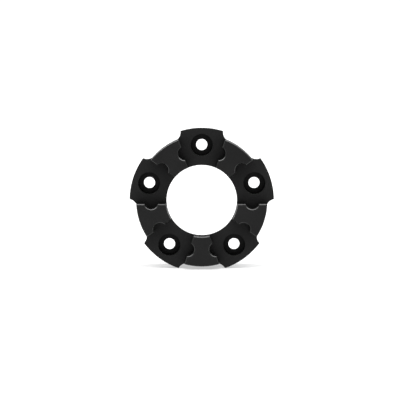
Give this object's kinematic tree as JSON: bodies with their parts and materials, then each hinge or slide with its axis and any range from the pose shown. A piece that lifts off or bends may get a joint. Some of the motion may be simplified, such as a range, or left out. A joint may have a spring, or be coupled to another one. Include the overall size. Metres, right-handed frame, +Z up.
{
  "type": "oldham coupling",
  "caption": "Large-bore Oldham coupling: a black lobed jaw flange, a floating disc with crossed keys and a driven shaft hub inside a caged rear cover.",
  "frame": {"origin": "centre of the front bore in the plane of the pads", "axes": "+Y along the coupling's axis, away from the jaws; +Z up through the top lobe; +X to the right seen from the jaws"},
  "size_m": [0.082, 0.0309, 0.0798],
  "materials": {
    "black_anodised": "satin black anodised, bead blasted, with bright-cut chamfers",
    "hard_anodised": "dark grey hard anodised",
    "key_steel": "ground hardened steel",
    "liner_bronze": "machined bearing bronze",
    "bearing_plastic": "natural low-friction plastic",
    "screw_steel": "black oxide"
  },
  "bodies": {
    "housing": {"front_hub": "black_anodised", "rear_cover": "black_anodised", "spacer_sleeve_1": "key_steel", "spacer_sleeve_2": "key_steel", "spacer_sleeve_3": "key_steel", "spacer_sleeve_4": "key_steel", "spacer_sleeve_5": "key_steel", "front_slot_liner_left": "liner_bronze", "front_slot_liner_right": "liner_bronze"},
    "disc": {"floating_disc": "hard_anodised", "drive_key_left": "key_steel", "drive_key_right": "key_steel", "cross_key_top_left": "key_steel", "cross_key_top_right": "key_steel", "cross_key_bottom": "key_steel", "key_screws": "screw_steel", "front_thrust_ring": "bearing_plastic", "rear_thrust_ring": "bearing_plastic"},
    "driven": {"driven_hub": "black_anodised", "cross_slot_liner_top_left": "liner_bronze", "cross_slot_liner_top_right": "liner_bronze", "cross_slot_liner_bottom": "liner_bronze", "shaft_set_screw_1": "screw_steel", "shaft_set_screw_2": "screw_steel", "shaft_set_screw_3": "screw_steel", "wear_buttons": "bearing_plastic"}
  },
  "joints": [
    {"name": "disc_slide", "type": "slide", "parent": "housing", "child": "disc", "axis": [1, 0, 0], "range_m": [-0.0008, 0.0008]},
    {"name": "hub_slide", "type": "slide", "parent": "disc", "child": "driven", "axis": [0, 0, 1], "range_m": [-0.0008, 0.0008]}
  ]
}
